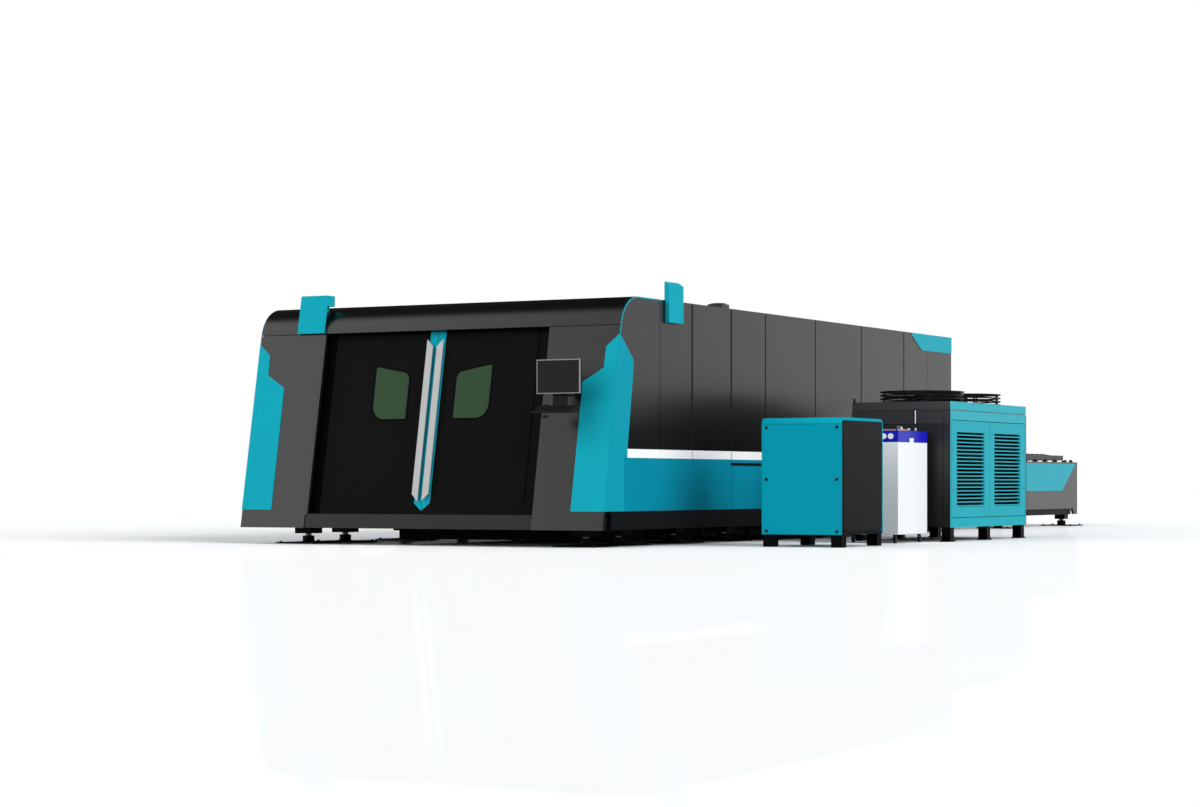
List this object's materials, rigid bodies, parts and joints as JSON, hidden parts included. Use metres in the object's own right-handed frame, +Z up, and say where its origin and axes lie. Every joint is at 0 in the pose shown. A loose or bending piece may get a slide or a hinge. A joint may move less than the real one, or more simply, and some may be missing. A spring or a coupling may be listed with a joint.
{
  "type": "fiber laser cutting machine",
  "caption": "Enclosed sheet-metal laser cutter with leaning sliding-door front, operator console, rear exchange table and separate cabinet, source and chiller.",
  "frame": {"origin": "on the floor, under the middle of the bounding box of the whole set", "axes": "+X to the operator's right, +Y from the operator's front to the exchange table, +Z up"},
  "size_m": [6.036, 15.443, 2.585],
  "materials": {
    "black_steel": "satin",
    "grey_sheet": "powder coat",
    "teal_sheet": "satin powder coat",
    "door_black": "satin",
    "lamp_white": "diffuser",
    "green_glass": "tinted",
    "light_grey": "satin",
    "machined_steel": "machined",
    "aluminium_parts": "anodised",
    "pallet_steel": "plain",
    "screen_plastic": "matte",
    "button_black": "matte",
    "white_sheet": "satin",
    "blue_sheet": "satin",
    "lens_white": "gloss",
    "castor_steel": "plated",
    "castor_tyre": "matte",
    "fan_plastic": "matte",
    "guard_wire": "satin"
  },
  "bodies": {
    "machine": {"base_frame": "black_steel", "bed_beams": "black_steel", "front_pillars": "grey_sheet", "front_sill": "grey_sheet", "curved_hood": "black_steel", "roof_panel": "black_steel", "upper_side_panels": "grey_sheet", "lower_side_panels": "teal_sheet", "lamp_strips": "lamp_white", "teal_trims": "teal_sheet", "rear_wall": "grey_sheet", "sign_boxes": "teal_sheet", "door_track": "machined_steel", "table_sides": "grey_sheet", "table_bands": "teal_sheet", "exchange_frame": "black_steel", "table_rollers": "button_black", "levelling_feet": "black_steel", "floor_plates": "black_steel", "cabinet_shell": "teal_sheet", "source_body": "white_sheet", "source_cover": "blue_sheet", "source_lamps": "lens_white", "chiller_body": "black_steel", "fan_guards": "guard_wire", "level_gauge": "lamp_white"},
    "left_door": {"door_leaf_left": "door_black", "window_left": "green_glass", "grip_plate_left": "teal_sheet", "grip_bar_left": "light_grey"},
    "right_door": {"door_leaf_right": "door_black", "window_right": "green_glass", "grip_plate_right": "teal_sheet", "grip_bar_right": "light_grey"},
    "rear_shutter": {"rear_gate": "grey_sheet"},
    "gantry_axis": {"gantry": "machined_steel"},
    "carriage_axis": {"cross_carriage": "aluminium_parts"},
    "head_axis": {"cutting_head": "aluminium_parts"},
    "upper_pallet": {"outer_pallet": "pallet_steel"},
    "lower_pallet": {"inner_pallet": "pallet_steel"},
    "console": {"console_arm": "black_steel"},
    "screen": {"monitor": "screen_plastic"},
    "tray": {"keyboard_tray": "screen_plastic"},
    "cabinet_leaf": {"cabinet_door": "door_black"},
    "chiller_leaf_left": {"chiller_door_left": "teal_sheet"},
    "chiller_leaf_right": {"chiller_door_right": "teal_sheet"},
    "fan_left": {"chiller_fan_left": "fan_plastic"},
    "fan_right": {"chiller_fan_right": "fan_plastic"},
    "button_1": {"push_button_1": "button_black"},
    "button_2": {"push_button_2": "button_black"},
    "button_3": {"push_button_3": "button_black"},
    "button_4": {"push_button_4": "button_black"},
    "castor_front_right": {"castor_fork_front_right": "castor_steel"},
    "wheel_front_right": {"castor_wheel_front_right": "castor_tyre"},
    "castor_front_left": {"castor_fork_front_left": "castor_steel"},
    "wheel_front_left": {"castor_wheel_front_left": "castor_tyre"},
    "castor_rear_right": {"castor_fork_rear_right": "castor_steel"},
    "wheel_rear_right": {"castor_wheel_rear_right": "castor_tyre"},
    "castor_rear_left": {"castor_fork_rear_left": "castor_steel"},
    "wheel_rear_left": {"castor_wheel_rear_left": "castor_tyre"}
  },
  "joints": [
    {"name": "left_door_slide", "type": "slide", "parent": "machine", "child": "left_door", "axis": [-1, 0, 0], "range_m": [0, 0.66]},
    {"name": "right_door_slide", "type": "slide", "parent": "machine", "child": "right_door", "axis": [1, 0, 0], "range_m": [0, 0.66]},
    {"name": "rear_gate_slide", "type": "slide", "parent": "machine", "child": "rear_shutter", "axis": [0, 0, -1], "range_m": [0, 0.62]},
    {"name": "gantry_slide", "type": "slide", "parent": "machine", "child": "gantry_axis", "axis": [0, 1, 0], "range_m": [0, 5.9]},
    {"name": "carriage_slide", "type": "slide", "parent": "gantry_axis", "child": "carriage_axis", "axis": [1, 0, 0], "range_m": [-1.35, 1.35]},
    {"name": "head_slide", "type": "slide", "parent": "carriage_axis", "child": "head_axis", "axis": [0, 0, -1], "range_m": [0, 0.26]},
    {"name": "outer_pallet_slide", "type": "slide", "parent": "machine", "child": "upper_pallet", "axis": [0, 1, 0], "range_m": [-6.93, 0]},
    {"name": "inner_pallet_slide", "type": "slide", "parent": "machine", "child": "lower_pallet", "axis": [0, 1, 0], "range_m": [0, 6.93]},
    {"name": "console_swivel", "type": "hinge", "parent": "machine", "child": "console", "pos_m": [0.732, -7.3085, 1.5], "axis": [0, 0, 1], "range_deg": [-35, 35]},
    {"name": "monitor_tilt", "type": "hinge", "parent": "console", "child": "screen", "pos_m": [0.732, -7.5185, 1.613], "axis": [-1, 0, 0], "range_deg": [-4, 20]},
    {"name": "tray_fold", "type": "hinge", "parent": "console", "child": "tray", "pos_m": [0.732, -7.5185, 1.3], "axis": [-1, 0, 0], "range_deg": [0, 40]},
    {"name": "button_1_press", "type": "slide", "parent": "machine", "child": "button_1", "axis": [0, 0.9829, -0.184], "range_m": [0, 0.004], "stiffness_N_per_m": 600},
    {"name": "button_2_press", "type": "slide", "parent": "machine", "child": "button_2", "axis": [0, 0.9829, -0.184], "range_m": [0, 0.004], "stiffness_N_per_m": 600},
    {"name": "button_3_press", "type": "slide", "parent": "machine", "child": "button_3", "axis": [0, 0.9829, -0.184], "range_m": [0, 0.004], "stiffness_N_per_m": 600},
    {"name": "button_4_press", "type": "slide", "parent": "machine", "child": "button_4", "axis": [0, 0.9829, -0.184], "range_m": [0, 0.004], "stiffness_N_per_m": 600},
    {"name": "cabinet_door_hinge", "type": "hinge", "parent": "machine", "child": "cabinet_leaf", "pos_m": [3.005, -5.2265, 0.168], "axis": [0, 0, 1], "range_deg": [0, 110]},
    {"name": "chiller_door_left_hinge", "type": "hinge", "parent": "machine", "child": "chiller_leaf_left", "pos_m": [2.997, -3.2805, 0.246], "axis": [0, 0, -1], "range_deg": [0, 105]},
    {"name": "chiller_door_right_hinge", "type": "hinge", "parent": "machine", "child": "chiller_leaf_right", "pos_m": [2.997, -1.0965, 0.246], "axis": [0, 0, 1], "range_deg": [0, 105]},
    {"name": "fan_left_spin", "type": "hinge", "parent": "machine", "child": "fan_left", "pos_m": [2.4595, -2.746, 1.503], "axis": [0, 0, 1], "continuous": true},
    {"name": "fan_right_spin", "type": "hinge", "parent": "machine", "child": "fan_right", "pos_m": [2.4595, -1.631, 1.503], "axis": [0, 0, 1], "continuous": true},
    {"name": "castor_front_right_swivel", "type": "hinge", "parent": "machine", "child": "castor_front_right", "pos_m": [2.747, -4.2035, 0.088], "axis": [0, 0, 1], "continuous": true},
    {"name": "wheel_front_right_roll", "type": "hinge", "parent": "castor_front_right", "child": "wheel_front_right", "pos_m": [2.747, -4.1875, 0.03], "axis": [1, 0, 0], "continuous": true},
    {"name": "castor_front_left_swivel", "type": "hinge", "parent": "machine", "child": "castor_front_left", "pos_m": [2.287, -4.2035, 0.088], "axis": [0, 0, 1], "continuous": true},
    {"name": "wheel_front_left_roll", "type": "hinge", "parent": "castor_front_left", "child": "wheel_front_left", "pos_m": [2.287, -4.1875, 0.03], "axis": [1, 0, 0], "continuous": true},
    {"name": "castor_rear_right_swivel", "type": "hinge", "parent": "machine", "child": "castor_rear_right", "pos_m": [2.747, -3.5485, 0.088], "axis": [0, 0, 1], "continuous": true},
    {"name": "wheel_rear_right_roll", "type": "hinge", "parent": "castor_rear_right", "child": "wheel_rear_right", "pos_m": [2.747, -3.5325, 0.03], "axis": [1, 0, 0], "continuous": true},
    {"name": "castor_rear_left_swivel", "type": "hinge", "parent": "machine", "child": "castor_rear_left", "pos_m": [2.287, -3.5485, 0.088], "axis": [0, 0, 1], "continuous": true},
    {"name": "wheel_rear_left_roll", "type": "hinge", "parent": "castor_rear_left", "child": "wheel_rear_left", "pos_m": [2.287, -3.5325, 0.03], "axis": [1, 0, 0], "continuous": true}
  ],
  "couplings": [
    {"joint": "inner_pallet_slide", "follows": "outer_pallet_slide", "ratio": -1}
  ]
}
